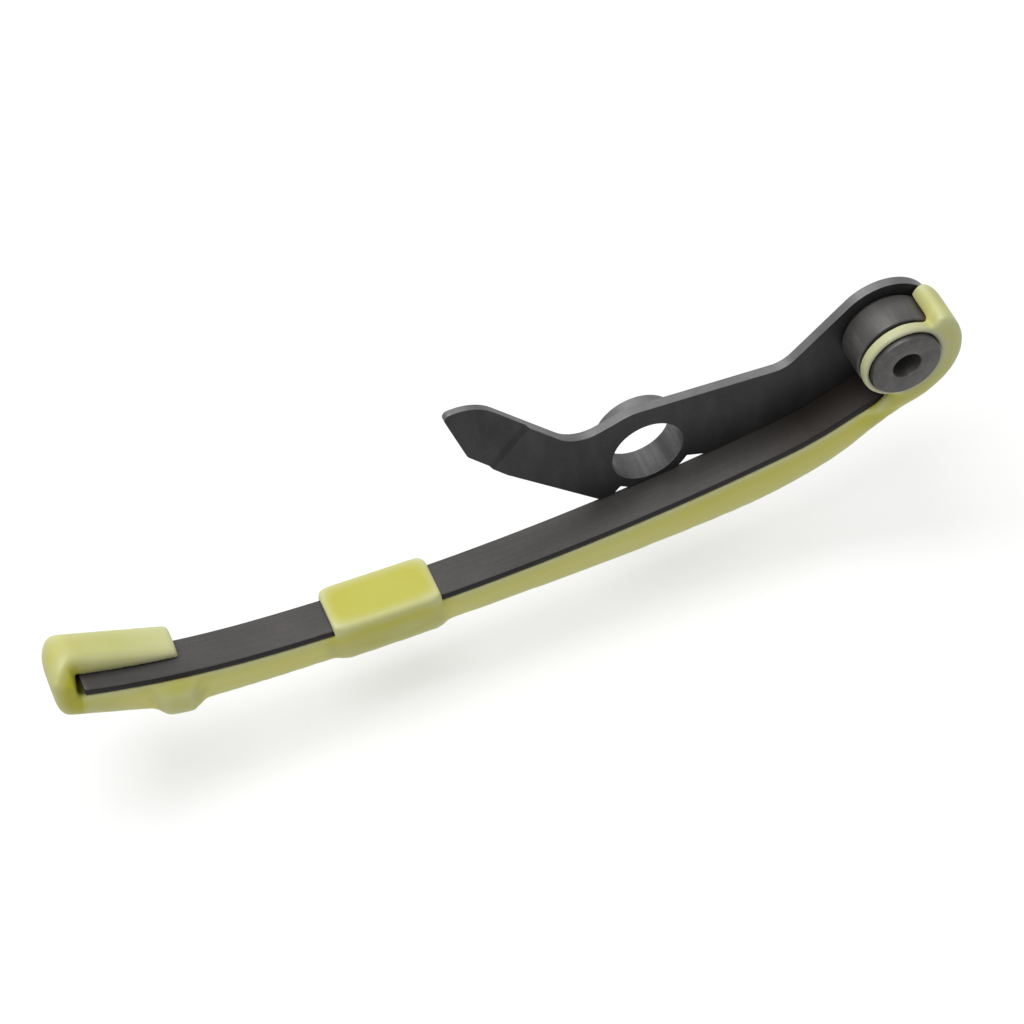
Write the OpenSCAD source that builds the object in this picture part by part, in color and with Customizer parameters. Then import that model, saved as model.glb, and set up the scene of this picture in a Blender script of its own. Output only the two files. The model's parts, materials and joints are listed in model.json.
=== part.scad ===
/* [Pivot] */
// Bore of the drawn collar that turns on the engine's pivot bolt
pivot_d = 12; // [10:0.5:14]
// Length of the bore, from the plate's front face to the collar's open end
bore_len = 5.6; // [4:0.1:8]
// Wall of the drawn collar
collar_wall = 0.95; // [0.7:0.05:1.2]
// Round at the root of the collar, behind the plate
collar_fillet = 1; // [0.5:0.1:1.5]

/* [Arm] */
// Thickness of the stamped plate
plate_t = 1.6; // [1.3:0.1:2.2]
// Distance from the pivot to the eye pin
pin_reach = 41.55; // [38:0.5:46]
// Height of the eye pin above the pivot, as an angle
pin_rise = 13; // [9:0.5:16]
// Radius of the plate round the eye pin
eye_r = 8.9; // [8.4:0.1:9.4]
// Width of metal left under the bore
rim_w = 1.2; // [1:0.1:1.6]
// Slope of the tail
tail_ang = 134.5; // [130:0.5:138]
// Depth of the coined push pad at the tail's end
pad_depth = 0.5; // [0.2:0.05:0.6]
// Width of the slope between the plate's face and the pad
pad_slope = 0.7; // [0.5:0.1:1.6]
// Room between the plate's lower edge and the spring under it
under_gap = 0.35; // [0.3:0.05:0.6]

/* [Eye pin] */
// Diameter of the drum that the shoe turns on
drum_d = 14.2; // [13:0.1:15]
// Length of the drum in front of the plate
drum_len = 6.2; // [5.6:0.1:7.5]
// Length of the narrow neck between the drum and the plate
neck_len = 0.6; // [0.4:0.1:1]
// How far the neck is cut in from the drum
neck_cut = 0.6; // [0.3:0.1:1]
// Diameter of the pin's head inside the front ring
head_d = 11.8; // [10.5:0.1:12.4]
// How far the head's face stands in front of the plate
head_reach = 9.3; // [8.8:0.1:10.4]
// Hole in the middle of the head
pin_hole_d = 4.8; // [3:0.1:6]
// Depth of that hole
pin_hole_depth = 6; // [3:0.1:7]
// Spigot that is riveted through the plate
spigot_d = 8; // [6:0.1:9]
// Height of the riveted over end behind the plate
rivet_h = 0.6; // [0.3:0.1:1]

/* [Leaf spring] */
// Width of the spring strip
leaf_w = 6.7; // [6:0.1:6.8]
// Thickness of the spring strip
leaf_t = 1.4; // [1:0.1:1.8]
// Straight length under the drum
leaf_run = 14; // [11:0.5:17]
// Slope of that straight length
leaf_slope = 20.5; // [18:0.5:23]

/* [Shoe] */
// Width of the slipper between its side faces
shoe_w = 6.9; // [6.8:0.1:7.2]
// How far the blade reaches back under the plate
tuck = 0.9; // [0.5:0.1:1.2]
// Room between the shoe and the plate behind it
side_gap = 0.2; // [0.2:0.05:0.5]
// Running clearance of the shoe on the drum and head
run_gap = 0.1; // [0.05:0.01:0.1]
// Outside radius of the hook round the drum
hook_r = 10.2; // [9.4:0.1:11]
// Angle where the hook ends, over the drum
hook_end = 50; // [35:1:60]
// Slope of the slipper's underside as it runs up to the hook
heel_slope = 38; // [35:1:41]
// Length of that slope
heel_run = 15.5; // [14.5:0.5:16.5]
// Thickness of the ring in front of the drum
ring_t = 2.3; // [1.8:0.1:2.5]
// How far the cheek flares from the front ring to the slipper's side
cheek_flare = 3.6; // [1:0.1:4]
// Left end of the shoe, measured from the pivot
shoe_end = 99.8; // [98:0.2:102]
// Thickness of the end wall
end_wall = 3.6; // [2.5:0.1:4.5]
// Round on the upper corner of the left end
end_round = 3.6; // [3:0.3:3.6]
// Length of the lip that covers the spring at the left end
lip_len = 20; // [15:0.5:24]
// Height of the lip over the spring at the lip's right end
lip_h = 1.9; // [1.6:0.1:2.6]
// Slope of the lip's straight top
lip_slope = 24.4; // [22:0.2:26]
// How far the end wall's top falls from the lip to the front
wall_drop = 3.6; // [2.5:0.1:3.8]
// How far the lip reaches forward over the spring
lip_cover = 3.9; // [3:0.1:4.6]
// Thickness of the block behind the spring at the left end
lip_back = 2.7; // [1.6:0.1:3.2]
// Distance from the pivot to the middle of the clip
clip_x = 47.2; // [45:0.2:50]
// Length of the clip along the spring
clip_len = 18; // [14:0.5:22]
// Thickness of the clip over the spring
clip_t = 1.1; // [0.8:0.1:2]
// Thickness of the clip's front wall
clip_wall = 1; // [0.8:0.05:1.4]
// Thickness of the clip's back wall
clip_back = 2; // [1.2:0.1:2.6]
// Round on the long top edges of the lip and the clip
top_round = 1.6; // [0.6:0.1:1.7]
// Distance from the pivot to the middle of the side lug
lug_x = 81.8; // [78:0.2:86]
// Length of the side lug
lug_len = 8; // [5:0.2:10]
// How far the side lug stands out
lug_out = 1.7; // [0.8:0.1:2]
// How far the lug's top falls from the slipper to the front
lug_slant = 3; // [2:0.1:4]
// Room over the spring inside the lip and the clip
spring_gap = 0.12; // [0.05:0.01:0.3]

/* [Hidden] */
$fn = 96;
eps = 0.01;
pivot_r = pivot_d / 2;
collar_r = pivot_r + collar_wall;
drum_r = drum_d / 2;
head_r = head_d / 2;
pin = [pin_reach * cos(pin_rise), pin_reach * sin(pin_rise)];
saddle_r = drum_r + run_gap;
leaf_back = tuck - side_gap - (shoe_w - leaf_w) / 2;
leaf_front = leaf_back - leaf_w;
shoe_back = tuck - side_gap;
shoe_front = shoe_back - shoe_w;
ring_back = -drum_len - run_gap;
ring_front = ring_back - ring_t;
lip_mid = leaf_back - lip_cover;

// One step of a path: [length, 0] is a straight, [radius, turn] is an arc
function step(p, a, s, n = 10) = s[1] == 0
  ? [[p + s[0] * [cos(a), sin(a)], a]]
  : [for (k = [1:n]) let (h = a + s[1] * k / n)
      [p + sign(s[1]) * s[0] * [sin(h) - sin(a), cos(a) - cos(h)], h]];

// Stations [point, heading] along a path of straights and tangent arcs
function walk(p, a, steps, i = 0) = i >= len(steps)
  ? []
  : let (s = step(p, a, steps[i]), e = s[len(s) - 1])
    concat(s, walk(e[0], e[1], steps, i + 1));

// The same path raised so that h is the thickness between the two
function lifted(path, h) = [for (s = path) s[0] + [0, -h / cos(s[1])]];

// Part of a path between two distances left of the pivot
function between(path, x0, x1) = [for (s = path) if (-s[0][0] >= x0 && -s[0][0] <= x1) s];

function turned(list) = [for (i = [len(list) - 1:-1:0]) list[i]];

// Station on a path at a given distance left of the pivot
function at_x(path, x) = let (
    i = max([for (k = [0:len(path) - 2]) if (-path[k][0][0] <= x) k]),
    a = path[i],
    b = path[i + 1],
    t = (x + a[0][0]) / (a[0][0] - b[0][0])
  ) [a[0] + t * (b[0] - a[0]), a[1] + t * (b[1] - a[1])];

// Stations from one distance to another, or from the path's start
function stretch(path, x0, x1) =
  concat([at_x(path, x0)], between(path, x0 + 0.1, x1 - 0.1), [at_x(path, x1)]);
function from_start(path, x1) = concat(between(path, -100, x1 - 0.1), [at_x(path, x1)]);
function after_start(path, x1) = concat(between(path, 0.1 - path[0][0][0], x1 - 0.1), [at_x(path, x1)]);

// Corner points [x, z, radius] turned into an outline with round corners
function unit(v) = v / norm(v);
function corner(a, b, c, r, n = 8) = r == 0
  ? [b]
  : let (
      u = unit(a - b),
      v = unit(c - b),
      h = acos(u * v) / 2,
      m = b + unit(u + v) * r / sin(h),
      s = b + u * r / tan(h) - m,
      g = 90 - h,
      w = sign(s[0] * (b - m)[1] - s[1] * (b - m)[0])
    ) [for (k = [0:n]) let (t = w * 2 * g * k / n)
        m + [s[0] * cos(t) - s[1] * sin(t), s[0] * sin(t) + s[1] * cos(t)]];
function flat2(p) = [p[0], p[1]];
function rounded(pts) = [for (i = [0:len(pts) - 1])
  each corner(flat2(pts[(i + len(pts) - 1) % len(pts)]), flat2(pts[i]),
              flat2(pts[(i + 1) % len(pts)]), pts[i][2])];

// Top face of the spring, walked from the drum to the left end
leaf_start = pin + saddle_r * [sin(leaf_slope), -cos(leaf_slope)];
leaf_path = concat([[leaf_start, 180 + leaf_slope]],
  walk(leaf_start, 180 + leaf_slope,
       [[leaf_run, 0], [45, 8.7 - leaf_slope], [330, -8.7], [300, -7.1], [132, -15.5], [8, 0]]));
leaf_end = shoe_end - end_wall - 1;
leaf_line = from_start(leaf_path, leaf_end);

// Underside of the shoe, walked from the hook to the left end
heel_start = pin + hook_r * [sin(heel_slope), -cos(heel_slope)];
sole_path = concat([[heel_start, 180 + heel_slope]],
  walk(heel_start, 180 + heel_slope,
       [[heel_run, 0], [22, 20 - heel_slope], [62, -16], [330, -4],
        [700, -3.8], [300, -3.9], [30, -17.8], [25, 0]]));

// Straight top of the lip, from its right end
lip_foot = lifted([at_x(leaf_path, shoe_end - lip_len)], lip_h)[0];
function lip_top(x) = lip_foot + (x - shoe_end + lip_len) * [-1, tan(lip_slope)];

// Draws children, an outline in x and z, from y0 to y1
module across(y0, y1) {
  translate([0, y1, 0])
    rotate([90, 0, 0])
      linear_extrude(y1 - y0)
        children();
}

// Round bar along y at the point p in x and z
module bar(p, r, y0, y1) {
  translate([p[0], y1, p[1]])
    rotate([90, 0, 0])
      cylinder(r = r, h = y1 - y0);
}

module arm_outline() {
  up = [-sin(34.6), cos(34.6)];
  down = [sin(17.8), -cos(17.8)];
  polygon(rounded([
    [-31.9, 24.4, 1],
    [-26.3, 24.5, 8],
    [-11.6, 7.5, 6.5],
    [-2.1, pivot_r + 4.1, 8],
    [24, 7.6, 5],
    [pin[0] + eye_r * up[0], pin[1] + eye_r * up[1], 0],
    [pin[0], pin[1], 0],
    [pin[0] + eye_r * down[0], pin[1] + eye_r * down[1], 0],
    [22, -5.3, 10],
    [11.5, -6.5, 2],
    [5, -4, 0],
    [-3.5, -5.6, 0],
    [-5.2, -6.3, 0],
    [-7.6, -8.6, 1.2],
    [-23.2, 6.6, 8],
    [-28.9, 13.5, 2]
  ]));
  translate(pin)
    circle(r = eye_r);
  circle(r = pivot_r + rim_w);
}

// Solid ring of the collar with the round at its root, before boring
module collar_body() {
  r = collar_r + collar_fillet;
  z = plate_t + collar_fillet;
  rotate([-90, 0, 0])
    rotate_extrude()
      polygon(concat(
        [[pivot_r - 2, 0], [r, 0], [r, plate_t]],
        [for (k = [1:6]) [r - collar_fillet * sin(15 * k), z - collar_fillet * cos(15 * k)]],
        [[collar_r, bore_len], [pivot_r - 2, bore_len]]
      ));
}

// Coined pad at the tail's end, with a slope up to the plate's face
module pad_cut() {
  translate([-21.9, 0, 12.5])
    rotate([0, -tail_ang, 0])
      translate([0, 0, -12])
        linear_extrude(24)
          polygon([[24, -1], [24, pad_depth], [pad_slope, pad_depth], [-pad_slope / pad_depth, -1]]);
}

// Side view of the room that the spring takes under the plate
module under_cut() {
  rise = under_gap / cos(leaf_slope);
  polygon(concat(
    [leaf_start + 14 * [cos(leaf_slope), sin(leaf_slope)] + [0, rise]],
    lifted(from_start(leaf_path, 30), under_gap),
    [[-30, -40], [60, -40]]
  ));
}

module arm() {
  color([0.22, 0.22, 0.23])
    difference() {
      union() {
        difference() {
          across(0, plate_t)
            arm_outline();
          pad_cut();
        }
        collar_body();
      }
      across(-1, plate_t + eps)
        under_cut();
      bar([0, 0], pivot_r, -1, bore_len + 1);
      bar(pin, spigot_d / 2, -1, plate_t + 1);
    }
}

module eye_pin() {
  color([0.36, 0.35, 0.34])
    difference() {
      union() {
        bar(pin, drum_r, -drum_len, -neck_len);
        bar(pin, drum_r - neck_cut, -neck_len - eps, 0);
        bar(pin, head_r, -head_reach, -drum_len);
        bar(pin, spigot_d / 2, -eps, plate_t);
        bar(pin, spigot_d / 2 + 0.8, plate_t, plate_t + rivet_h);
      }
      bar(pin, pin_hole_d / 2, -head_reach - 1, -head_reach + pin_hole_depth);
    }
}

module leaf_spring() {
  color([0.3, 0.3, 0.31])
    across(leaf_front, leaf_back)
      polygon(concat(lifted(leaf_line, 0), turned(lifted(leaf_line, -leaf_t))));
}

// Side view of the slipper and its hook, filled as far as the drum's middle
module body_outline() {
  tip = pin + hook_r * [cos(hook_end), sin(hook_end)];
  core = pin + 5 * [cos(hook_end), sin(hook_end)];
  low = heel_slope - 90;
  high = hook_end - 16;
  outer = [for (k = [0:14]) let (t = high + (low - high) * k / 14) pin + hook_r * [cos(t), sin(t)]];
  bed = from_start(leaf_path, shoe_end);
  polygon(concat(
    corner(core, tip, outer[0], 1),
    outer,
    lifted(after_start(sole_path, shoe_end), 0),
    turned(lifted(bed, -leaf_t)),
    [leaf_start + [0, 2], core]
  ));
}

// Side view of the cheek that joins the front ring to the hook and the slipper
module cheek_outline() {
  tip = pin + hook_r * [cos(hook_end), sin(hook_end)];
  core = pin + 2 * [cos(hook_end), sin(hook_end)];
  low = heel_slope - 90;
  high = hook_end - 16;
  outer = [for (k = [0:14]) let (t = high + (low - high) * k / 14) pin + hook_r * [cos(t), sin(t)]];
  left = 10 - pin[0];
  polygon(concat(
    corner(core, tip, outer[0], 1),
    outer,
    lifted(after_start(sole_path, left), 0),
    lifted([at_x(leaf_path, left), at_x(leaf_path, 1 - pin[0])], -leaf_t - 0.2),
    [pin + [-1, -5], core]
  ));
}

// Side view of a stretch between the sole and a height over the spring
module from_sole(x0, x1, high) {
  polygon(concat(
    lifted(stretch(leaf_path, x0, x1), high),
    turned(lifted(stretch(sole_path, x0, x1), 0))
  ));
}

// Side view of a strip over the spring
module over_spring(x0, x1, low, high) {
  run = stretch(leaf_path, x0, x1);
  polygon(concat(lifted(run, low), turned(lifted(run, high))));
}

// Carries children, an outline in y and height, along the line from a to b
module along(a, b) {
  run = norm(b - a);
  translate([a[0], 0, a[1]])
    rotate([0, -atan2(b[1] - a[1], b[0] - a[0]), 0])
      translate([-run, 0, 0])
        rotate([90, 0, 90])
          linear_extrude(3 * run)
            children();
}

// Cutter that rounds the long top edge at y, from a to b
module edge_round(a, b, y, way, r) {
  c = [y - way * r, -r];
  along(a, b)
    polygon(concat(
      [for (k = [0:6]) c + (r + 0.02) * [way * cos(15 * k), sin(15 * k)]],
      [[c[0], 3], [y + 2 * way, 3], [y + 2 * way, -r]]
    ));
}

// Hook, slipper, front ring and cheek, before the drum's room is cut
module long_body() {
  across(shoe_front, shoe_back)
    body_outline();
  bar(pin, drum_r, ring_front, ring_back + 0.5);
  difference() {
    intersection() {
      across(ring_front, shoe_front)
        cheek_outline();
      translate([0, 0, -60])
        linear_extrude(120)
          polygon([[pin[0] - 8, shoe_front + 1], [pin[0] - 8, shoe_front], [pin[0] + 1, ring_front - 0.1],
                   [pin[0] + 30, ring_front - 0.1], [pin[0] + 30, shoe_front + 1]]);
    }
    translate([pin[0], 0, pin[1]])
      rotate([90, 0, 0])
        rotate_extrude()
          polygon([[hook_r - 0.5, 1 - ring_front], [hook_r - 0.5, -ring_front],
                   [hook_r + cheek_flare, -shoe_front - eps], [60, -shoe_front - eps], [60, 1 - ring_front]]);
  }
}

// Side views under the lip's straight top: down to the sole, and down to the spring
module block_side(x0, x1) {
  polygon(concat(lifted(stretch(sole_path, x0, x1), 0), [lip_top(x1), lip_top(x0)]));
}
module lip_side(x0, x1) {
  polygon(concat(lifted(stretch(leaf_path, x0, x1), spring_gap), [lip_top(x1), lip_top(x0)]));
}

module left_end() {
  x0 = shoe_end - lip_len;
  x1 = shoe_end;
  y1 = leaf_back + lip_back;
  difference() {
    union() {
      across(shoe_front, y1)
        from_sole(x0, x1, -leaf_t);
      across(shoe_back, y1)
        block_side(x0, x1);
      across(lip_mid, y1)
        lip_side(x0, x1);
      across(shoe_front, y1)
        block_side(x1 - end_wall, x1);
    }
    edge_round(lip_top(x1), lip_top(x0), y1, 1, top_round + 0.6);
    edge_round(lip_top(x1), lip_top(x0), lip_mid, -1, top_round);
    along(lip_top(x1), lip_top(x1 - end_wall))
      polygon([[lip_mid + 0.6, 0.1], [shoe_front - 0.1, -wall_drop], [shoe_front - 3, -wall_drop],
               [shoe_front - 3, 3], [lip_mid + 0.6, 3]]);
  }
}

module clip() {
  x0 = clip_x - clip_len / 2;
  x1 = clip_x + clip_len / 2;
  y0 = leaf_front - clip_wall;
  y1 = leaf_back + clip_back;
  a = lifted([at_x(leaf_path, x1)], clip_t)[0];
  b = lifted([at_x(leaf_path, x0)], clip_t)[0];
  intersection() {
    difference() {
      union() {
        across(y0, y1)
          from_sole(x0, x1, -leaf_t);
        across(y0, shoe_front)
          from_sole(x0, x1, clip_t);
        across(shoe_back, y1)
          from_sole(x0, x1, clip_t);
        across(y0, y1)
          over_spring(x0, x1, spring_gap, clip_t);
      }
      edge_round(a, b, y1, 1, top_round);
      edge_round(a, b, y0, -1, clip_wall * 0.8);
    }
    translate([0, 0, -60])
      linear_extrude(120)
        polygon(rounded([[-x1, shoe_front - 0.4, 0], [1.6 - x1, y0, 1.5], [-x0 - 1.6, y0, 1.5],
                         [-x0, shoe_front - 0.4, 0], [-x0, y1, 2], [-x1, y1, 2]]));
  }
}

// Lug on the front face, sloped at both ends
module lug() {
  w = lug_len / 2;
  a = lifted([at_x(leaf_path, lug_x + w)], -leaf_t)[0];
  b = lifted([at_x(leaf_path, lug_x - w)], -leaf_t)[0];
  intersection() {
    across(shoe_front - lug_out, shoe_front + 1)
      from_sole(lug_x - w, lug_x + w, -leaf_t);
    translate([-lug_x, 0, -60])
      linear_extrude(120)
        polygon([[-w, shoe_front + 2], [-w, shoe_front], [-w * 0.6, shoe_front - lug_out],
                 [w * 0.4, shoe_front - lug_out], [w, shoe_front], [w, shoe_front + 2]]);
    along(a, b)
      polygon([[shoe_front + 2, -0.3], [shoe_front, -0.3], [shoe_front - lug_out - 0.1, -lug_slant],
               [shoe_front - lug_out - 0.1, -40], [shoe_front + 2, -40]]);
  }
}

// Takes the rounds off both corners of the left end in side view
module toe_cut() {
  low = at_x(sole_path, shoe_end - 4)[0];
  toe = at_x(sole_path, shoe_end)[0];
  high = lip_top(shoe_end) + [-0.02, 0.02];
  run = lip_top(shoe_end - 9) + [0, 0.02];
  out = [-0.02, -0.02];
  across(-20, 20)
    polygon(concat(
      corner(low + out, toe + out, toe + out + [0, 4], 2),
      [toe + [-3, 2], toe + [-3, -3], low + [0, -3]]
    ));
  across(-20, 20)
    polygon(concat(
      corner(high + [0, -6], high, run, end_round),
      [run + [0, 7], high + [-3, 4], high + [-3, -6]]
    ));
}

// Plan of the shoe that rounds both corners of its left end
module plan_outline() {
  polygon(rounded([
    [-shoe_end, shoe_front, 1.6],
    [-shoe_end, leaf_back + lip_back, 3.6],
    [pin[0] + 0.5, leaf_back + lip_back + 4, 0],
    [pin[0] + 0.5, -side_gap, 0],
    [60, -side_gap, 0],
    [60, -20, 0],
    [5 - shoe_end, -20, 0],
    [5 - shoe_end, shoe_front, 0]
  ]));
}

module shoe() {
  color([0.78, 0.78, 0.5])
    difference() {
      intersection() {
        union() {
          long_body();
          left_end();
          clip();
          lug();
        }
        translate([0, 0, -60])
          linear_extrude(120)
            plan_outline();
      }
      toe_cut();
      bar(pin, saddle_r, ring_back, 2);
      bar(pin, head_r + run_gap, ring_front - 1, ring_back + 1);
    }
}

arm();
eye_pin();
leaf_spring();
shoe();
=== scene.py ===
import json

import bmesh
import bpy
import numpy as np
from mathutils import Matrix, Vector


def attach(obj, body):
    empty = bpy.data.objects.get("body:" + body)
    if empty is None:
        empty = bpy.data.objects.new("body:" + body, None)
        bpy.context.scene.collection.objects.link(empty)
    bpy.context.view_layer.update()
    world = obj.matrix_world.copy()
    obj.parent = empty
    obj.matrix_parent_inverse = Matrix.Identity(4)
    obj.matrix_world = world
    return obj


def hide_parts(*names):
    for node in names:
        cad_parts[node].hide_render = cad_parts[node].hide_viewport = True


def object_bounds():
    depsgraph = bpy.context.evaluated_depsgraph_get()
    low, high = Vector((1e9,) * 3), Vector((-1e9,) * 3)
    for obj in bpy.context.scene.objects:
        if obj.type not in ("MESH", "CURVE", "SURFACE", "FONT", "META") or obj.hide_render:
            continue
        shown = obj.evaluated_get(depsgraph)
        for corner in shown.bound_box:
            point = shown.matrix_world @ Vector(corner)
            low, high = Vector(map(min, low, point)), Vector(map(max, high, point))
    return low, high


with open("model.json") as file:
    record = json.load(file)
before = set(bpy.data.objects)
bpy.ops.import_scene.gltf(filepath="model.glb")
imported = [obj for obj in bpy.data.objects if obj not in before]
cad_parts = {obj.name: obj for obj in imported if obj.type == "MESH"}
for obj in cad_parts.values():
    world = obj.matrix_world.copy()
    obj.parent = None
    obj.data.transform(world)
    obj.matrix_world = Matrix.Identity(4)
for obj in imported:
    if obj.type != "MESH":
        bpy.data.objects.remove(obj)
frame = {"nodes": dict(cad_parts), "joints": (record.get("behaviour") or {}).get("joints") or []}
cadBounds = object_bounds()
mm = 0.001
pinAt = np.array(frame["joints"][0]["pos_m"])[[0, 2]] / mm  # X and Z of the eye pin's axis
print("frame loaded")


# Puts a mesh into the scene as a smooth-shaded object
def addObject(name, mesh):
    mesh.polygons.foreach_set("use_smooth", np.ones(len(mesh.polygons), bool))
    obj = bpy.data.objects.new(name, mesh)
    bpy.context.scene.collection.objects.link(obj)
    return obj


# A new mesh from points and faces
def meshObject(name, verts, faces):
    mesh = bpy.data.meshes.new(name)
    mesh.from_pydata(np.asarray(verts).tolist(), [], faces)
    mesh.validate()
    return addObject(name, mesh)


# A mesh's points, or another vector of its points, as rows of an array
def pointRows(mesh, what="co"):
    values = np.empty(len(mesh.vertices) * 3)
    mesh.vertices.foreach_get(what, values)
    return values.reshape(-1, 3)


# Keeps one number per point of a mesh for its material
def paint(mesh, name, values):
    mesh.attributes.new(name, "FLOAT", "POINT").data.foreach_set("value", values)


# Joins points that lie together and turns every face outwards
def closeUp(obj, near=1e-7):
    bm = bmesh.new()
    bm.from_mesh(obj.data)
    bmesh.ops.remove_doubles(bm, verts=bm.verts, dist=near)
    bmesh.ops.recalc_face_normals(bm, faces=bm.faces)
    bm.to_mesh(obj.data)
    bm.free()


# Quads between neighbours of a grid of points, whose columns may close on themselves
def gridFaces(rows, cols, closed=True):
    r, c = np.meshgrid(np.arange(rows - 1), np.arange(cols if closed else cols - 1), indexing="ij")
    after = (c + 1) % cols
    quads = [r * cols + c, r * cols + after, (r + 1) * cols + after, (r + 1) * cols + c]
    return np.stack(quads, -1).reshape(-1, 4).tolist()


# A copy of a CAD node with its loose triangles joined; faces that turn less than flat degrees are made one
def mergedCopy(node, name, flat=0.0, near=2e-6):
    mesh = frame["nodes"][node].data.copy()
    mesh.name = name
    bm = bmesh.new()
    bm.from_mesh(mesh)
    bmesh.ops.remove_doubles(bm, verts=bm.verts, dist=near)
    if flat:
        bmesh.ops.dissolve_limit(bm, angle_limit=np.radians(flat), verts=bm.verts, edges=bm.edges)
    bm.to_mesh(mesh)
    bm.free()
    mesh.materials.clear()
    return addObject(name, mesh)


# A smooth step from 0 at start to 1 at end, which may lie below start
def easeIn(value, start, end):
    t = np.clip((value - start) / (end - start), 0, 1)
    return t * t * (3 - 2 * t)


# A material under way, with the few nodes that the finishes here are made of
class Nodes:
    # A new material with its shader and the object's own place
    def __init__(self, name):
        self.material = bpy.data.materials.new(name)
        self.material.use_nodes = True
        self.tree = self.material.node_tree
        self.shader = self.tree.nodes["Principled BSDF"]
        self.place = self.tree.nodes.new("ShaderNodeTexCoord").outputs["Object"]

    # Joins an output to an input
    def link(self, a, b):
        self.tree.links.new(a, b)

    # Noise on the object's own place, with a stretch along each axis
    def noise(self, scale, stretch=(1, 1, 1), detail=4, rough=0.55):
        warp = self.tree.nodes.new("ShaderNodeMapping")
        warp.inputs["Scale"].default_value = stretch
        self.link(self.place, warp.inputs["Vector"])
        node = self.tree.nodes.new("ShaderNodeTexNoise")
        node.inputs["Scale"].default_value = scale
        node.inputs["Detail"].default_value = detail
        node.inputs["Roughness"].default_value = rough
        self.link(warp.outputs["Vector"], node.inputs["Vector"])
        return node.outputs["Fac"]

    # A number kept per point by paint
    def attribute(self, name):
        node = self.tree.nodes.new("ShaderNodeAttribute")
        node.attribute_name = name
        return node.outputs["Fac"]

    # A value taken from one range to another
    def remap(self, value, low, high, toLow=0.0, toHigh=1.0):
        node = self.tree.nodes.new("ShaderNodeMapRange")
        for key, number in (("From Min", low), ("From Max", high), ("To Min", toLow), ("To Max", toHigh)):
            node.inputs[key].default_value = number
        self.link(value, node.inputs["Value"])
        return node.outputs["Result"]

    # From colour a to colour b by a factor
    def mix(self, factor, a, b):
        node = self.tree.nodes.new("ShaderNodeMix")
        node.data_type = "RGBA"
        self.link(factor, node.inputs["Factor"])
        for socket, value in ((node.inputs[6], a), (node.inputs[7], b)):
            if isinstance(value, tuple):
                socket.default_value = (*value, 1)
            else:
                self.link(value, socket)
        return node.outputs[2]

    # A fine relief, on top of another one where below is given
    def bump(self, height, strength, distance, below=None):
        node = self.tree.nodes.new("ShaderNodeBump")
        node.inputs["Strength"].default_value = strength
        node.inputs["Distance"].default_value = distance
        self.link(height, node.inputs["Height"])
        if below:
            self.link(below, node.inputs["Normal"])
        return node.outputs["Normal"]


# What all the steels share: how their noises are cut off and how deep they go
steelNoise = {"cloud": (0.3, 0.7), "streak": (0.45, 0.75), "grain": (0.35, 0.65), "grainMix": 0.35,
              "rough": (0.3, 0.7), "roughSpread": 0.07,
              "grainBump": 0.25, "streakBump": 0.15, "bumpDepth": 0.02 * mm}


# Dark heat-treated steel: cloudy tone, fine grain, faint drawn streaks, uneven gloss
def steel(name, s, paintedShade=None):
    n = Nodes(name)
    cut = steelNoise
    cloud = n.remap(n.noise(s["cloud"], detail=3), *cut["cloud"])
    grain = n.noise(s["grain"], detail=6, rough=0.7)
    streak = n.noise(s["streak"], s["along"], detail=3)
    tone = n.mix(cloud, s["dark"], s["light"])
    tone = n.mix(n.remap(streak, *cut["streak"], 0.0, s["streakMix"]), tone, s["shine"])
    tone = n.mix(n.remap(grain, *cut["grain"], 0.0, cut["grainMix"]), tone, s["dark"])
    # Where given, a painted shade is mixed in by its painted number
    if paintedShade:
        tone = n.mix(n.attribute("paintedShade"), tone, paintedShade)
    n.link(tone, n.shader.inputs["Base Color"])
    rough = n.remap(grain, *cut["rough"], s["rough"] - cut["roughSpread"], s["rough"] + cut["roughSpread"])
    n.link(rough, n.shader.inputs["Roughness"])
    n.shader.inputs["Metallic"].default_value = s["metal"]
    n.shader.inputs["Specular IOR Level"].default_value = s["gloss"]
    fine = n.bump(grain, cut["grainBump"], cut["bumpDepth"])
    n.link(n.bump(streak, cut["streakBump"], cut["bumpDepth"], fine), n.shader.inputs["Normal"])
    return n.material


# Arm: the CAD plate with its sharp edges broken, bright in its bore, and lighter on its rim: partly bare worn
# steel, partly a painted highlight where the top edge catches the light
armLook = {"dark": (0.018, 0.018, 0.019), "light": (0.035, 0.035, 0.036), "shine": (0.08, 0.08, 0.08),
           "cloud": 90, "grain": 2600, "streak": 300, "along": (1, 1, 0.35), "streakMix": 0.25,
           "rough": 0.5, "metal": 0.4, "gloss": 0.3,
           "flat": 0.6, "edge": 0.38 * mm, "edgeAngle": 42, "edgeSteps": 3, "edgeWeight": 80, "rimTurn": 0.3}
# Rim steel, lighter than the faces: bare worn edge, and partly a painted highlight of the top edge
armEdgeWearAndSheen = dict(armLook, dark=(0.1, 0.1, 0.1), light=(0.16, 0.16, 0.16), shine=(0.27, 0.27, 0.27),
               rough=0.45, metal=0.6)
armBore = dict(armLook, dark=(0.06, 0.06, 0.06), light=(0.1, 0.1, 0.1), shine=(0.2, 0.2, 0.2), streak=700,
               along=(1, 0.08, 1), streakMix=0.6, rough=0.42, metal=0.6, radius=6.03 * mm)
arm = mergedCopy("arm", "armPlate", armLook["flat"])
arm.data.materials.append(steel("armSteel", armLook))
arm.data.materials.append(steel("armWornEdgeAndSheen", armEdgeWearAndSheen))
arm.data.materials.append(steel("armBore", armBore))
fromPivot = np.hypot(*pointRows(arm.data)[:, [0, 2]].T)
inBore = [fromPivot[list(face.vertices)].max() < armBore["radius"] for face in arm.data.polygons]
onRim = [abs(face.normal.y) < armLook["rimTurn"] for face in arm.data.polygons]
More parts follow.
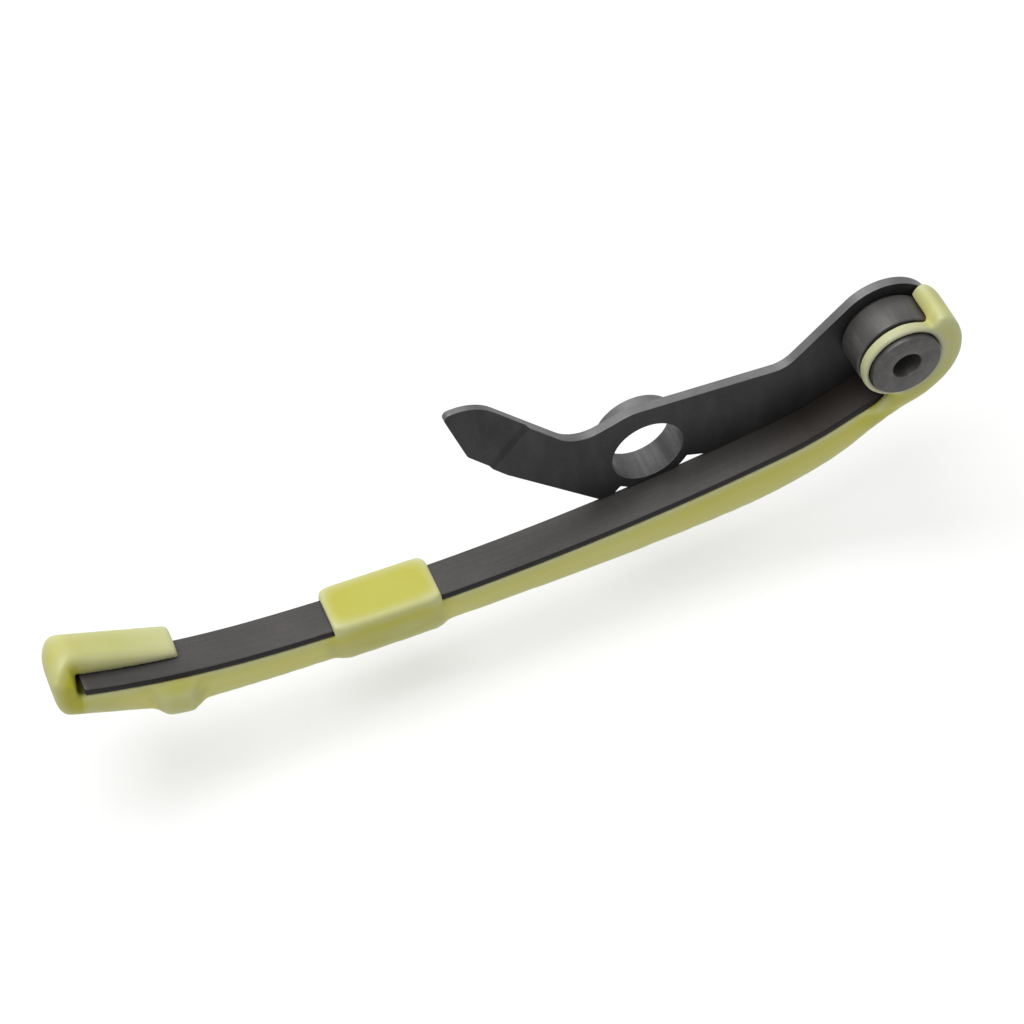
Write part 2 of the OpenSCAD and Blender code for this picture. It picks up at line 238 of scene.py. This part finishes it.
arm.data.polygons.foreach_set("material_index", np.where(inBore, 2, np.where(onRim, 1, 0)))
bevel = arm.modifiers.new("edges", "BEVEL")
bevel.width = armLook["edge"]
bevel.segments = armLook["edgeSteps"]
bevel.limit_method = "ANGLE"
bevel.angle_limit = np.radians(armLook["edgeAngle"])
# Bevels take the lighter rim steel: worn edge and painted highlight
bevel.material = 1
normals = arm.modifiers.new("normals", "WEIGHTED_NORMAL")
normals.weight = armLook["edgeWeight"]
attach(arm, "arm")
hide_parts("arm")
print("arm done")


# Eye pin, radii and depths in mm: front of the head, drum, seat on the plate and riveted end behind it
pinLook = {"dark": (0.055, 0.053, 0.051), "light": (0.09, 0.087, 0.084), "shine": (0.17, 0.165, 0.16),
           "cloud": 160, "grain": 3000, "streak": 500, "along": (1, 0.12, 1), "streakMix": 0.4,
           "rough": 0.45, "metal": 0.45, "gloss": 0.4, "turns": 160,
           "hole": 2.4, "holeFloor": -3.3, "holeEdge": 0.2, "mouth": [(0, 0.25), (0.07, 0.1), (0.22, 0)],
           "head": 5.9, "headFront": -9.3, "headEdge": 0.4, "nick": 0.1,
           "drum": 7.1, "drumFront": -6.2, "drumEdge": 0.35, "drumBack": -0.6, "drumBackEdge": 0.2,
           "seat": 6.5, "shank": 4.0, "plate": 1.6, "rivet": 4.8, "rivetBack": 2.2, "rivetEdge": 0.4,
           "headMid": 4.0, "neckMid": -7.5, "drumMid": -3.0, "rivetMid": 2.0}  # points on the plain faces


# Points of a quarter round about a centre, from one heading to another
def roundOff(r, y, radius, start, end, count=5):
    t = np.radians(np.linspace(start, end, count))
    return list(zip(r + radius * np.cos(t), y + radius * np.sin(t)))


# Half outline of the pin as radius and depth: out of the hole, over the head and the drum, down to the rivet
def pinOutline(p):
    hole, head, drum, seat, shank, rivet = (p[k] for k in ("hole", "head", "drum", "seat", "shank", "rivet"))
    front, step, back, plate, nick = (p[k] for k in ("headFront", "drumFront", "drumBack", "plate", "nick"))
    bottom, ease = p["holeFloor"], p["holeEdge"]
    blind = [(0, bottom), (hole - ease, bottom), (hole, bottom - ease)]
    mouth = [(hole + out, front + deep) for out, deep in p["mouth"]] + [(p["headMid"], front)]
    headRim = roundOff(head - p["headEdge"], front + p["headEdge"], p["headEdge"], -90, 0)
    neck = [(head, p["neckMid"]), (head, step - nick), (head + nick, step), (seat, step)]
    drumRim = roundOff(drum - p["drumEdge"], step + p["drumEdge"], p["drumEdge"], -90, 0)
    drumRim += [(drum, p["drumMid"])]
    backRim = roundOff(drum - p["drumBackEdge"], back - p["drumBackEdge"], p["drumBackEdge"], 0, 90)
    foot = [(seat + nick, back), (seat, back + nick), (seat, 0), (shank + 2 * nick, 0), (shank, nick)]
    swell = [(shank, plate - nick / 2), (shank + nick, plate), (rivet - nick, plate), (rivet, plate + nick)]
    rivetRim = roundOff(rivet - p["rivetEdge"], p["rivetBack"] - p["rivetEdge"], p["rivetEdge"], 0, 90)
    end = [(p["rivetMid"], p["rivetBack"]), (0, p["rivetBack"])]
    return np.array(blind + mouth + headRim + neck + drumRim + backRim + foot + swell + rivetRim + end)


# The outline turned about the pin's axis
pinProfile = pinOutline(pinLook)
turn = np.linspace(0, 2 * np.pi, pinLook["turns"], endpoint=False)
radius, depth = pinProfile[:, 0, None], pinProfile[:, 1, None]
pinX, pinZ = pinAt[0] + radius * np.cos(turn), pinAt[1] + radius * np.sin(turn)
pinVerts = np.stack([pinX, depth + 0 * turn, pinZ], -1) * mm
pin = meshObject("eyePin", pinVerts.reshape(-1, 3), gridFaces(len(pinProfile), len(turn)))
closeUp(pin)
pin.data.materials.append(steel("pinSteel", pinLook))
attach(pin, "arm")
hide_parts("eye_pin")
print("eye pin done")


# A path of straights (length, 0) and tangent arcs (radius, turn in degrees), as points and headings
def walk(start, heading, steps, arcCount=16, straightCount=6):
    points, headings = [np.array(start)], [heading]
    for size, bend in steps:
        t = np.linspace(0, 1, (arcCount if bend else straightCount) + 1)[1:]
        a = np.radians(headings[-1] + bend * t)
        a0 = np.radians(headings[-1])
        if bend:
            run = np.sign(bend) * size * np.stack([np.sin(a) - np.sin(a0), np.cos(a0) - np.cos(a)], -1)
        else:
            run = size * t[:, None] * np.array([np.cos(a0), np.sin(a0)])
        headings += list(headings[-1] + bend * t)
        points += list(points[-1] + run)
    return np.array(points), np.array(headings)


# Leaf spring, mm and degrees: a strip bent from its slope at the drum to an easier one, then on to its tip
leafSlope, leafEase = 20.5, 8.7
leafLook = {"dark": (0.042, 0.039, 0.038), "light": (0.062, 0.058, 0.056), "shine": (0.1, 0.095, 0.09),
            "cloud": 60, "grain": 2200, "streak": 1500, "along": (0.05, 1, 0.3), "streakMix": 0.2,
            "rough": 0.55, "metal": 0.35, "gloss": 0.3, "sideTurn": 0.8,
            # The brown tone, and where it starts and ends in mm along X, is a painted shade and dark
            # reflection of the arm plate near the drum
            "paintedShade": (0.009, 0.006, 0.004), "paintedShadeFrom": 10, "paintedShadeTo": 26,
            "path": [(14, 0), (45, leafEase - leafSlope), (330, -leafEase),
                     (300, -7.1), (132, -15.5), (8, 0)],
            "start": 7.2, "end": -95.2, "endGap": 0.6, "thick": 1.4, "wide": (-6.1, 0.6),
            "edge": 0.3, "edgeLeast": 0.05, "edgeShrink": 0.5, "edgeStep": 15,
            "endRound": np.array([(0.0, 0.3), (0.04, 0.16), (0.12, 0.06), (0.3, 0.0)])}  # way in and inset
# Side faces of the strip: a darker copy of its steel, a painted shade on faces turned from the light
leafSideShade = dict(leafLook, dark=(0.012, 0.011, 0.011), light=(0.02, 0.019, 0.018), shine=(0.035, 0.034, 0.033),
                rough=0.6, gloss=0.15)
slope = np.radians(leafSlope)
leafStart = pinAt + leafLook["start"] * np.array([np.sin(slope), -np.cos(slope)])
leafPath, leafHeading = walk(leafStart, 180 + leafSlope, leafLook["path"])


# A value of the spring's path at X, between the path's points
def onLeaf(x, values):
    return np.interp(-x, -leafPath[:, 0], values)


# The path is cut off at the spring's end in the pocket
leafTip = np.array([leafLook["end"], onLeaf(leafLook["end"], leafPath[:, 1])])
keep = leafPath[:, 0] > leafLook["end"] + leafLook["endGap"]
leafPath = np.vstack([leafPath[keep], leafTip])
leafHeading = np.append(leafHeading[keep], leafHeading[keep][-1])


# Section of the strip: width and depth with round corners, made smaller by an inset
def stripSection(inset):
    y0, y1 = leafLook["wide"][0] + inset, leafLook["wide"][1] - inset
    d0, d1 = inset, leafLook["thick"] - inset
    r = max(leafLook["edge"] - inset * leafLook["edgeShrink"], leafLook["edgeLeast"])
    t = np.radians(np.arange(0, 360, leafLook["edgeStep"]))
    quarter = t + 1e-6  # a hair on, so that each quarter turn belongs to one corner
    cy = np.where(np.cos(quarter) > 0, y1 - r, y0 + r)
    cd = np.where(np.sin(quarter) > 0, d1 - r, d0 + r)
    return np.stack([cy + r * np.cos(t), cd + r * np.sin(t)], -1)


# Places a little way in from an end of the path, where the section grows from its inset to its full size
def endPlaces(point, heading, way):
    a = np.radians(heading)
    return point + way * leafLook["endRound"][:, :1] * [np.cos(a), np.sin(a)]


# The section carried along the path, hung below it
endInset = leafLook["endRound"][:, 1]
firstEnd = endPlaces(leafPath[0], leafHeading[0], 1)
lastEnd = endPlaces(leafPath[-1], leafHeading[-1], -1)[::-1]
along = np.vstack([firstEnd, leafPath[1:-1], lastEnd])
heading = np.concatenate([0 * endInset + leafHeading[0], leafHeading[1:-1], 0 * endInset + leafHeading[-1]])
inset = np.concatenate([endInset, 0 * leafHeading[1:-1], endInset[::-1]])
sections = np.array([stripSection(size) for size in inset])
drop = sections[..., 1] / np.abs(np.cos(np.radians(heading)))[:, None]
leafVerts = np.stack([along[:, :1] + 0 * drop, sections[..., 0], along[:, 1:] - drop], -1) * mm
rows, sides = drop.shape
leafFaces = gridFaces(rows, sides)
leafFaces += [list(range(sides))[::-1], [(rows - 1) * sides + k for k in range(sides)]]
leaf = meshObject("leafSpring", leafVerts.reshape(-1, 3), leafFaces)
closeUp(leaf)
leaf.data.materials.append(steel("leafSteel", leafLook, leafLook["paintedShade"]))
leaf.data.materials.append(steel("leafSideShadeSteel", leafSideShade))
# The side faces take the darker steel as painted shade
onSide = [max(abs(face.normal.y), abs(face.normal.x)) > leafLook["sideTurn"] for face in leaf.data.polygons]
leaf.data.polygons.foreach_set("material_index", np.where(onSide, 1, 0))
# Painted shade: the strip darkens to brown from the middle towards the drum, for the arm plate's shadow and
# dark reflection on it
plateShade = (pointRows(leaf.data)[:, 0] / mm - leafLook["paintedShadeFrom"]) / (leafLook["paintedShadeTo"] - leafLook["paintedShadeFrom"])
paint(leaf.data, "paintedShade", np.clip(plateShade, 0, 1))
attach(leaf, "blade")
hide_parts("leaf_spring")
print("leaf spring done")


# Shoe: the CAD shape meshed evenly and relaxed, which rounds its edges and fills its corners as moulding does
shoeLook = {"voxel": 0.26 * mm, "relax": 9, "relaxStep": 0.5,
            "fill": 240, "fillStep": 0.5, "fillRefresh": 20,
            "soften": 26, "softenStep": 0.5, "bed": (0.1, 0.7)}
draft = mergedCopy("shoe", "shoeDraft")


# Adds a closed form between two sheets of points to a mesh
def addForm(mesh, upper, lower):
    rows, cols = upper.shape[:2]
    ring = list(range(cols)) + [r * cols + cols - 1 for r in range(1, rows)]
    ring += [rows * cols - 1 - k for k in range(1, cols)] + [r * cols for r in range(rows - 2, 0, -1)]
    half = rows * cols
    faces = gridFaces(rows, cols, closed=False)
    faces += [[k + half for k in face[::-1]] for face in faces]
    faces += [[a, b, b + half, a + half] for a, b in zip(ring, ring[1:] + ring[:1])]
    bm = bmesh.new()
    bm.from_mesh(mesh)
    made = [bm.verts.new(v) for v in np.vstack([upper.reshape(-1, 3), lower.reshape(-1, 3)])]
    sheet = [bm.faces.new([made[k] for k in face]) for face in faces]
    bmesh.ops.recalc_face_normals(bm, faces=sheet)
    bm.to_mesh(mesh)
    bm.free()


# The end block's top runs on from the lip to the front: the lower of a sloped plane and the end's round
blockForm = {"x": (-99.0, -96.25), "y": (-4.9, -1.9), "count": 14, "foot": -79.8, "rise": 1.9, "slope": 24.4,
             "round": 3.6, "roundAt": -96.2, "frontAt": -2.7, "frontSlope": 1.03, "frontRise": 0.1,
             "crown": -0.3, "skin": 0.05, "deep": 2.0}
tilt = np.tan(np.radians(blockForm["slope"]))
foot = onLeaf(blockForm["foot"], leafPath[:, 1])
foot += blockForm["rise"] / abs(np.cos(np.radians(onLeaf(blockForm["foot"], leafHeading))))
blockX, blockY = np.meshgrid(np.linspace(*blockForm["x"], blockForm["count"]),
                             np.linspace(*blockForm["y"], blockForm["count"]), indexing="ij")
front = blockForm["frontRise"] + blockForm["frontSlope"] * (blockY - blockForm["frontAt"])
plane = foot + tilt * (blockForm["foot"] - blockX) + np.minimum(front, blockForm["crown"])
centre = foot + tilt * (blockForm["foot"] - blockForm["roundAt"]) - blockForm["round"] * np.hypot(1, tilt)
arc = centre + np.sqrt(np.maximum(blockForm["round"] ** 2 - (blockX - blockForm["roundAt"]) ** 2, 0))
blockTop = np.stack([blockX, blockY, np.minimum(plane, arc) - blockForm["skin"]], -1)
addForm(draft.data, blockTop * mm, (blockTop - [0, 0, blockForm["deep"]]) * mm)

# Corner under the ring, between the slipper and the cheek: two edges in X and Z, drawn out between two depths
cornerForm = {"y": (-7.6, -6.25), "low": [(36.0, -1.7), (41.0, 0.1)], "top": [(38.7, 2.5), (40.8, 2.7)]}
cornerLow, cornerTop = (np.array([[(x, y, z) for x, z in cornerForm[edge]] for y in cornerForm["y"]])
                        for edge in ("low", "top"))
addForm(draft.data, cornerTop * mm, cornerLow * mm)

# The slipper's lower front edge runs straight on to the cheek: a wedge from there up to the slipper's face
heelForm = {"edge": np.array([(30.5, -6.2, -9.6), (33.5, -6.6, -7.7), (35.5, -7.1, -6.1),
                              (37.0, -7.35, -5.0), (39.0, -7.7, -3.5), (41.0, -7.9, -2.1)]),
            "face": -6.15, "high": 3.2, "back": -5.6}
heelTop = heelForm["edge"] * [1, 0, 1] + [0, heelForm["face"], heelForm["high"]]
heelFront = np.array([heelForm["edge"], heelTop])
addForm(draft.data, heelFront * mm, (heelFront * [1, 0, 1] + [0, heelForm["back"], 0]) * mm)

remesh = draft.modifiers.new("even", "REMESH")
remesh.mode = "VOXEL"
remesh.voxel_size = shoeLook["voxel"]
relax = draft.modifiers.new("relax", "SMOOTH")
relax.factor = shoeLook["relaxStep"]
relax.iterations = shoeLook["relax"]
bpy.context.view_layer.update()
shoeMesh = bpy.data.meshes.new_from_object(draft.evaluated_get(bpy.context.evaluated_depsgraph_get()))
shoeMesh.name = "shoe"
bpy.data.objects.remove(draft)
shoe = addObject("chainShoe", shoeMesh)


# Mean over each point's neighbours, along the mesh's edges
def neighbourMean(values, edges):
    here, there = np.concatenate([edges, edges[:, ::-1]]).T
    count = np.maximum(np.bincount(here, minlength=len(values)), 1)
    if values.ndim == 1:
        return np.bincount(here, values[there], len(values)) / count
    return np.stack([np.bincount(here, v[there], len(v)) / count for v in values.T], -1)


# The same mean taken several times over
def spread(values, rounds):
    for _ in range(rounds):
        values = neighbourMean(values, edges)
    return values


# Distance in mm from the spring, taken as a strip of its own width and thickness
def fromSpring(place):
    x, y, z = place.T / mm
    top = onLeaf(x, leafPath[:, 1])
    thick = leafLook["thick"] / np.abs(np.cos(np.radians(onLeaf(x, leafHeading))))
    dx = np.maximum(np.maximum(leafLook["end"] - x, x - leafStart[0]), 0)
    dy = np.maximum(np.maximum(leafLook["wide"][0] - y, y - leafLook["wide"][1]), 0)
    dz = np.maximum(np.maximum(top - thick - z, z - top), 0)
    return np.sqrt(dx ** 2 + dy ** 2 + dz ** 2)


# Where each fill starts and ends, in mm
fillZone = {"blockX": (-95.6, -96.4), "blockZ": (-1.5, 0.5), "heelX": (24, 29), "heelY": (-5.2, -6.2),
            "drum": 7.5, "ringY": (-7.2, -7.8), "ringR": (6.4, 6.8)}


# Where hollows fill up, from 0 to 1: the end block's top, and the heel outside the drum's own space
def fillWeight(place):
    x, y, z = place.T / mm
    fromPin = np.hypot(x - pinAt[0], z - pinAt[1])
    block = easeIn(x, *fillZone["blockX"]) * easeIn(z, *fillZone["blockZ"])
    ring = easeIn(y, *fillZone["ringY"]) * easeIn(fromPin, *fillZone["ringR"])
    heel = easeIn(x, *fillZone["heelX"]) * easeIn(y, *fillZone["heelY"])
    return np.maximum(block, heel * np.where(fromPin < fillZone["drum"], ring, 1))


# Hollows are raised along the surface's normals, then edges away from the spring are rounded further
place = pointRows(shoeMesh)
edges = np.empty(len(shoeMesh.edges) * 2, int)
shoeMesh.edges.foreach_get("vertices", edges)
edges = edges.reshape(-1, 2)
loose = easeIn(fromSpring(place), *shoeLook["bed"])[:, None]
filling = fillWeight(place)[:, None]
busy = edges[(filling[edges] > 0).any((1, 2))]
for k in range(shoeLook["fill"]):
    if k % shoeLook["fillRefresh"] == 0:
        shoeMesh.vertices.foreach_set("co", place.ravel())
        shoeMesh.update()
        outward = pointRows(shoeMesh, "normal")
    rise = ((neighbourMean(place, busy) - place) * outward).sum(1)[:, None]
    place = place + shoeLook["fillStep"] * filling * np.maximum(rise, 0) * outward
for k in range(shoeLook["soften"]):
    place = place + shoeLook["softenStep"] * loose * (neighbourMean(place, edges) - place)
shoeMesh.vertices.foreach_set("co", place.ravel())
shoeMesh.update()
print("shoe shaped,", len(place), "points")

# Where each tone of the nylon lies, in mm, and over how many neighbours it fades
toneZone = {"standRounds": 60, "standDepth": 0.3 * mm, "standFade": 6,
            "springShadeFade": 1.6, "springShadeFadeEnd": 3.5, "springShadeFadeDrum": 1.9, "drumX": (-12, 14),
            "wallFront": (-6.9, -6.3), "wallBack": (-5.0, -6.1), "wallClip": (-58, -39),
            "wallEnd": (-94, -88), "wallFade": 8,
            "overLeaf": (0, 0.6), "tipX": (-90, -81), "tipEnd": -70,
            "pocketShadeReach": 2.8, "pocketShadeX": -95.9, "pocketShadeY": (-2.5, -4),
            "gapRight": (-94.9, -95.2), "gapLeft": (-96.4, -96.2), "gapY": (-6.1, -5.7), "gapReach": 1.2,
            "endFade": 3,
            "ring": 7.3, "ringRim": 0.6, "ringFront": -6.5, "ringStep": 0.5, "ringFade": 4}
x, y, z = place.T / mm
away = fromSpring(place)
# How far a point stands out from its surroundings: above 0 on edges, below 0 in hollows
stand = ((place - spread(place, toneZone["standRounds"])) * pointRows(shoeMesh, "normal")).sum(1)
paint(shoeMesh, "stand", spread(stand / toneZone["standDepth"], toneZone["standFade"]))
# Painted shade: the colour deepens towards the spring, where the spring shades the nylon, further out at the
# spring's end and near the drum
fade = np.where(x < leafLook["end"], toneZone["springShadeFadeEnd"], toneZone["springShadeFade"])
fade = fade + toneZone["springShadeFadeDrum"] * easeIn(x, *toneZone["drumX"])
paint(shoeMesh, "deep", np.exp(-away / fade))
# Painted light: the slipper's plain front face is painted lighter than the blocks on it
beside = np.where(x > toneZone["wallClip"][0], x > toneZone["wallClip"][1], easeIn(x, *toneZone["wallEnd"]))
wall = easeIn(y, *toneZone["wallBack"]) * easeIn(y, *toneZone["wallFront"]) * beside
paint(shoeMesh, "wall", spread(wall, toneZone["wallFade"]))
# Milky tip of the lip, a deep yellow painted shade round the spring's end in its pocket, and painted shade on
# the floor of the gap there
over = easeIn(z - onLeaf(x, leafPath[:, 1]), *toneZone["overLeaf"])
tip = easeIn(x, *toneZone["tipX"]) * (x < toneZone["tipEnd"]) * over
paint(shoeMesh, "tip", spread(tip, toneZone["endFade"]))
pocketShade = np.exp(-away / toneZone["pocketShadeReach"]) * (x < toneZone["pocketShadeX"]) * easeIn(y, *toneZone["pocketShadeY"])
paint(shoeMesh, "pocketShade", spread(pocketShade, toneZone["endFade"]))
gap = easeIn(x, *toneZone["gapRight"]) * easeIn(x, *toneZone["gapLeft"]) * easeIn(y, *toneZone["gapY"])
gap = gap * (1 - over) * (away < toneZone["gapReach"])
paint(shoeMesh, "gap", spread(gap, toneZone["endFade"]))
# The front ring is paler than the rest, fading out at its rim
fromPin = np.hypot(x - pinAt[0], z - pinAt[1])
ring = np.clip((toneZone["ring"] - fromPin) / toneZone["ringRim"], 0, 1)
ring = ring * np.clip((toneZone["ringFront"] - y) / toneZone["ringStep"], 0, 1)
paint(shoeMesh, "ring", spread(ring, toneZone["ringFade"]))

# Each layer: the painted number, where it starts and ends, how strong it gets, and its tone
# Of these tones, the darker yellows are painted shade in hollows, beside the spring and round its end, the
# lighter front yellow is painted light on the slipper's front face, and the near-black one is painted shade
# in the gap at the spring's end
nylonLook = {"base": (0.45, 0.435, 0.115), "green": (0.43, 0.45, 0.15), "warm": (0.45, 0.39, 0.085),
             "pale": (0.52, 0.53, 0.29), "shadedYellow": (0.45, 0.425, 0.016), "hollowShade": (0.37, 0.35, 0.01),
             "wall": (0.58, 0.555, 0.165), "ring": (0.44, 0.43, 0.31), "shade": (0.05, 0.045, 0.008),
             "cloud": 55, "cloudCut": (0.35, 0.65), "patch": 140, "patchCut": (0.4, 0.7), "patchMix": 0.5,
             "milk": 95, "milkAlong": (1, 1, 2.2), "milkCut": (0.45, 0.75), "milkMix": 0.35, "wave": 260,
             "grain": 1800, "grainCut": (0.3, 0.7), "rough": (0.36, 0.5), "gloss": 0.3, "ior": 1.5,
             "under": 0.2, "underRadius": (1.0, 0.9, 0.35), "underScale": 1.2 * mm,
             "waveDepth": 0.3 * mm, "grainDepth": 0.03 * mm, "bump": 0.12,
             "layers": [("wall", 0.0, 1.0, 0.75, "wall"), ("deep", 0.15, 0.75, 0.9, "shadedYellow"),
                        ("stand", 0.25, 1.6, 0.85, "pale"), ("ring", 0.0, 1.0, 0.85, "ring"),
                        # Hollows take a darker yellow as painted shade
                        ("stand", -0.15, -1.2, 0.9, "hollowShade"), ("tip", 0.0, 1.0, 0.7, "pale"),
                        ("pocketShade", 0.12, 0.4, 0.97, "hollowShade"), ("gap", 0.0, 1.0, 1.0, "shade")]}


# Nylon: cloudy yellow-green, paler where edges thin out, with painted shade in hollows and round the spring
# and painted light on the slipper's front face, a little light inside
def nylon(name, s):
    n = Nodes(name)
    cloud = n.remap(n.noise(s["cloud"], detail=2), *s["cloudCut"])
    patch = n.remap(n.noise(s["patch"], detail=3), *s["patchCut"], 0.0, s["patchMix"])
    milk = n.remap(n.noise(s["milk"], s["milkAlong"], detail=3), *s["milkCut"], 0.0, s["milkMix"])
    grain = n.noise(s["grain"], detail=5, rough=0.65)
    tone = n.mix(cloud, s["base"], s["green"])
    tone = n.mix(patch, tone, s["warm"])
    tone = n.mix(milk, tone, s["pale"])
    for painted, start, end, strength, colour in s["layers"]:
        tone = n.mix(n.remap(n.attribute(painted), start, end, 0.0, strength), tone, s[colour])
    n.link(tone, n.shader.inputs["Base Color"])
    n.link(n.remap(grain, *s["grainCut"], *s["rough"]), n.shader.inputs["Roughness"])
    n.shader.inputs["Subsurface Weight"].default_value = s["under"]
    n.shader.inputs["Subsurface Radius"].default_value = s["underRadius"]
    n.shader.inputs["Subsurface Scale"].default_value = s["underScale"]
    n.shader.inputs["IOR"].default_value = s["ior"]
    n.shader.inputs["Specular IOR Level"].default_value = s["gloss"]
    wave = n.bump(n.noise(s["wave"], detail=2), s["bump"], s["waveDepth"])
    n.link(n.bump(grain, s["bump"], s["grainDepth"], wave), n.shader.inputs["Normal"])
    return n.material


shoeMesh.materials.clear()
shoeMesh.materials.append(nylon("nylonYellow", nylonLook))
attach(shoe, "blade")
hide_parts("shoe")
print("shoe done")


# Floor clear of the part at rest; at the end of the swing the blade's tip dips about 2.5 mm into it
# It is seen paler than it is lit, and far off plain white
floorLook = {"half": 3.0, "colour": (0.93, 0.93, 0.93), "rough": 0.9, "drop": 14.2 * mm,
             "near": 0.3, "far": 0.8, "plain": 0.45}


# 1 for the rays that show the background: seen directly, mirrored or through glass
def sightRays(tree):
    rays = tree.nodes.new("ShaderNodeLightPath").outputs
    total = rays["Is Camera Ray"]
    for kind in ("Is Glossy Ray", "Is Transmission Ray"):
        add = tree.nodes.new("ShaderNodeMath")
        add.use_clamp = True
        tree.links.new(total, add.inputs[0])
        tree.links.new(rays[kind], add.inputs[1])
        total = add.outputs["Value"]
    return total


low = cadBounds[0][2] - floorLook["drop"]
half = floorLook["half"]
floorCorners = [(-half, -half, low), (half, -half, low), (half, half, low), (-half, half, low)]
floor = meshObject("floor", floorCorners, [[0, 1, 2, 3]])
n = Nodes("floorPaint")
n.shader.inputs["Base Color"].default_value = (*floorLook["colour"], 1)
n.shader.inputs["Roughness"].default_value = floorLook["rough"]
n.shader.inputs["Specular IOR Level"].default_value = 0.0
span = n.tree.nodes.new("ShaderNodeVectorMath")
span.operation = "LENGTH"
n.link(n.place, span.inputs[0])
seen = n.tree.nodes.new("ShaderNodeMath")
seen.operation = "MULTIPLY"
farOff = n.remap(span.outputs["Value"], floorLook["near"], floorLook["far"], floorLook["plain"])
n.link(farOff, seen.inputs[0])
n.link(sightRays(n.tree), seen.inputs[1])
white = n.tree.nodes.new("ShaderNodeEmission")
blend = n.tree.nodes.new("ShaderNodeMixShader")
n.link(seen.outputs["Value"], blend.inputs["Fac"])
n.link(n.shader.outputs["BSDF"], blend.inputs[1])
n.link(white.outputs["Emission"], blend.inputs[2])
n.link(blend.outputs["Shader"], n.tree.nodes["Material Output"].inputs["Surface"])
floor.data.materials.append(n.material)

# Two softboxes, metres and watts
lampLook = {"aim": (-0.02, 0, 0),
            "overhead": {"at": (-0.15, 0.02, 0.8), "size": (0.7, 0.6), "power": 7.4},
            "backRim": {"at": (0.1, 0.8, 0.45), "size": (0.8, 0.3), "power": 1.8}}


# A rectangular lamp turned to the aim
def softbox(name, at, size, power):
    light = bpy.data.lights.new(name, "AREA")
    light.shape = "RECTANGLE"
    light.size, light.size_y = size
    light.energy = power
    obj = bpy.data.objects.new(name, light)
    bpy.context.scene.collection.objects.link(obj)
    obj.location = at
    obj.rotation_euler = (Vector(lampLook["aim"]) - Vector(at)).to_track_quat("-Z", "Y").to_euler()


softbox("overhead", **lampLook["overhead"])
softbox("backRim", **lampLook["backRim"])

# The world is seen white and lights the object at a plain level
worldLook = {"colour": (1, 1, 1, 1), "strength": 0.25}
world = bpy.data.worlds.new("studio")
bpy.context.scene.world = world
world.use_nodes = True
backdrop = world.node_tree.nodes["Background"]
backdrop.inputs["Color"].default_value = worldLook["colour"]
sight = world.node_tree.nodes.new("ShaderNodeMapRange")
sight.inputs["To Min"].default_value = worldLook["strength"]
world.node_tree.links.new(sightRays(world.node_tree), sight.inputs["Value"])
world.node_tree.links.new(sight.outputs["Result"], backdrop.inputs["Strength"])
print("studio done")

# The photo's camera: its place in metres, and its own right, up and back
cameraLook = {"lens": 108.996, "sensor": 36, "near": 0.01, "at": (-0.103127, -0.290785, 0.377928),
              "right": (0.924571, -0.370423, -0.089187), "up": (0.343725, 0.709933, 0.614693),
              "back": (-0.164379, -0.598984, 0.783708)}
camera = bpy.data.cameras.new("photoCamera")
camera.lens = cameraLook["lens"]
camera.sensor_width = cameraLook["sensor"]
camera.clip_start = cameraLook["near"]
cameraObject = bpy.data.objects.new("photoCamera", camera)
bpy.context.scene.collection.objects.link(cameraObject)
cameraTurn = Matrix((cameraLook["right"], cameraLook["up"], cameraLook["back"])).transposed()
cameraObject.matrix_world = Matrix.Translation(cameraLook["at"]) @ cameraTurn.to_4x4()
bpy.context.scene.camera = cameraObject
bpy.context.scene.view_settings.view_transform = "Standard"
